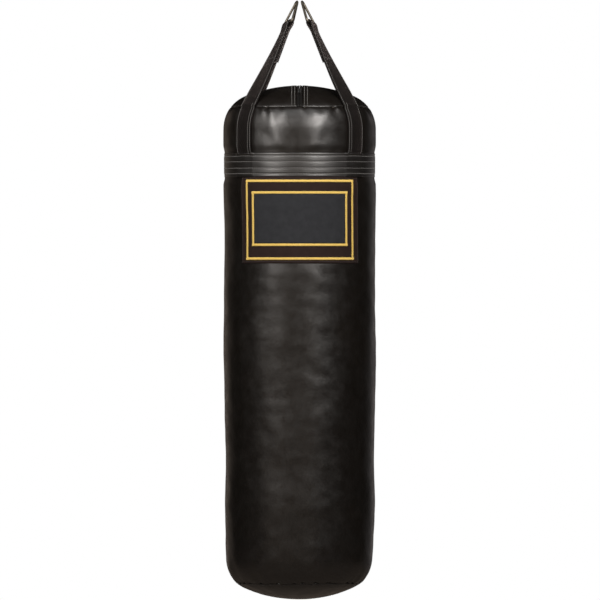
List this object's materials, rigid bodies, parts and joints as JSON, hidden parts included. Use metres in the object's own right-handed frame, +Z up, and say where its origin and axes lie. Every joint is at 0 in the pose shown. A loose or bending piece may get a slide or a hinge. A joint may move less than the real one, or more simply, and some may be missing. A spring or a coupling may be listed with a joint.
{
  "type": "hanging heavy bag",
  "caption": "Stuffed cylindrical punching bag in black synthetic leather that hangs by webbing straps and delta rings, with a sewn belt, a zipped top and a plain framed label patch.",
  "frame": {"origin": "the hang point, where one hook bears under the tops of the four rings", "axes": "+Z up along the bag, -Y towards the label on the front, +X to the right of someone facing the label"},
  "size_m": [0.3319, 0.3335, 1.3051],
  "materials": {
    "cover_vinyl": "soft-sheen grained synthetic leather, near black",
    "belt_vinyl": "grained synthetic leather band with rows of stitches",
    "webbing": "tight black webbing with stitched edges",
    "ring_steel": "plated steel wire, dull with a warm tint",
    "label_cloth": "dark woven patch",
    "gold_thread": "satin embroidery in gold thread",
    "label_field": "plain dark grey woven field",
    "zip_tape": "black woven zip tape",
    "zip_coil": "black nylon coil",
    "zip_metal": "black-plated metal, dull",
    "lining_cloth": "plain woven lining",
    "foam": "closed-cell foam sheet",
    "filling": "packed textile shreds"
  },
  "bodies": {
    "bag": {"side_cover": "cover_vinyl", "top_panel_left": "cover_vinyl", "top_panel_right": "cover_vinyl", "bottom_panel": "cover_vinyl", "belt": "belt_vinyl", "strap_anchor_front_left": "webbing", "strap_anchor_front_right": "webbing", "strap_anchor_back_left": "webbing", "strap_anchor_back_right": "webbing", "label_ground": "label_cloth", "label_frame_outer": "gold_thread", "label_frame_inner": "gold_thread", "label_panel": "label_field", "zip_tape_left": "zip_tape", "zip_tape_right": "zip_tape", "zip_coil_left": "zip_coil", "zip_coil_right": "zip_coil", "zip_stops": "zip_metal", "lining": "lining_cloth", "foam_wrap": "foam", "fill_core": "filling"},
    "strap_front_left": {"strap_front_left": "webbing"},
    "strap_front_right": {"strap_front_right": "webbing"},
    "strap_back_left": {"strap_back_left": "webbing"},
    "strap_back_right": {"strap_back_right": "webbing"},
    "ring_front_left": {"ring_front_left": "ring_steel"},
    "ring_front_right": {"ring_front_right": "ring_steel"},
    "ring_back_left": {"ring_back_left": "ring_steel"},
    "ring_back_right": {"ring_back_right": "ring_steel"},
    "zip_slider": {"zip_slider": "zip_metal"},
    "zip_pull": {"zip_pull": "zip_metal"}
  },
  "joints": [
    {"name": "strap_front_left_fold", "type": "hinge", "parent": "bag", "child": "strap_front_left", "pos_m": [-0.11187, -0.10433, -0.22576], "axis": [0.682, -0.7314, 0], "range_deg": [0, 170]},
    {"name": "strap_front_right_fold", "type": "hinge", "parent": "bag", "child": "strap_front_right", "pos_m": [0.11187, -0.10433, -0.22576], "axis": [0.682, 0.7314, 0], "range_deg": [0, 170]},
    {"name": "strap_back_left_fold", "type": "hinge", "parent": "bag", "child": "strap_back_left", "pos_m": [-0.10626, 0.11004, -0.22576], "axis": [-0.7193, -0.6947, 0], "range_deg": [0, 170]},
    {"name": "strap_back_right_fold", "type": "hinge", "parent": "bag", "child": "strap_back_right", "pos_m": [0.11187, 0.10433, -0.22576], "axis": [-0.682, 0.7314, 0], "range_deg": [0, 170]},
    {"name": "ring_front_left_swing", "type": "hinge", "parent": "strap_front_left", "child": "ring_front_left", "pos_m": [-0.02572, -0.03143, -0.04517], "axis": [0.3018, -0.9359, 0.1815], "range_deg": [0, 110]},
    {"name": "ring_front_right_swing", "type": "hinge", "parent": "strap_front_right", "child": "ring_front_right", "pos_m": [0.02572, -0.03143, -0.04517], "axis": [0.3018, 0.9359, -0.1815], "range_deg": [0, 110]},
    {"name": "ring_back_left_swing", "type": "hinge", "parent": "strap_back_left", "child": "ring_back_left", "pos_m": [-0.02466, 0.03256, -0.04522], "axis": [-0.3514, -0.918, -0.184], "range_deg": [0, 110]},
    {"name": "ring_back_right_swing", "type": "hinge", "parent": "strap_back_right", "child": "ring_back_right", "pos_m": [0.02572, 0.03143, -0.04517], "axis": [-0.3018, 0.9359, 0.1815], "range_deg": [0, 110]},
    {"name": "zip_slide", "type": "hinge", "parent": "bag", "child": "zip_slider", "pos_m": [0, 0, -0.498], "axis": [1, 0, 0], "range_deg": [0, 34.76]},
    {"name": "zip_pull_swing", "type": "hinge", "parent": "zip_slider", "child": "zip_pull", "pos_m": [0, 0.09621, -0.19059], "axis": [1, 0, 0], "range_deg": [0, 165]}
  ]
}
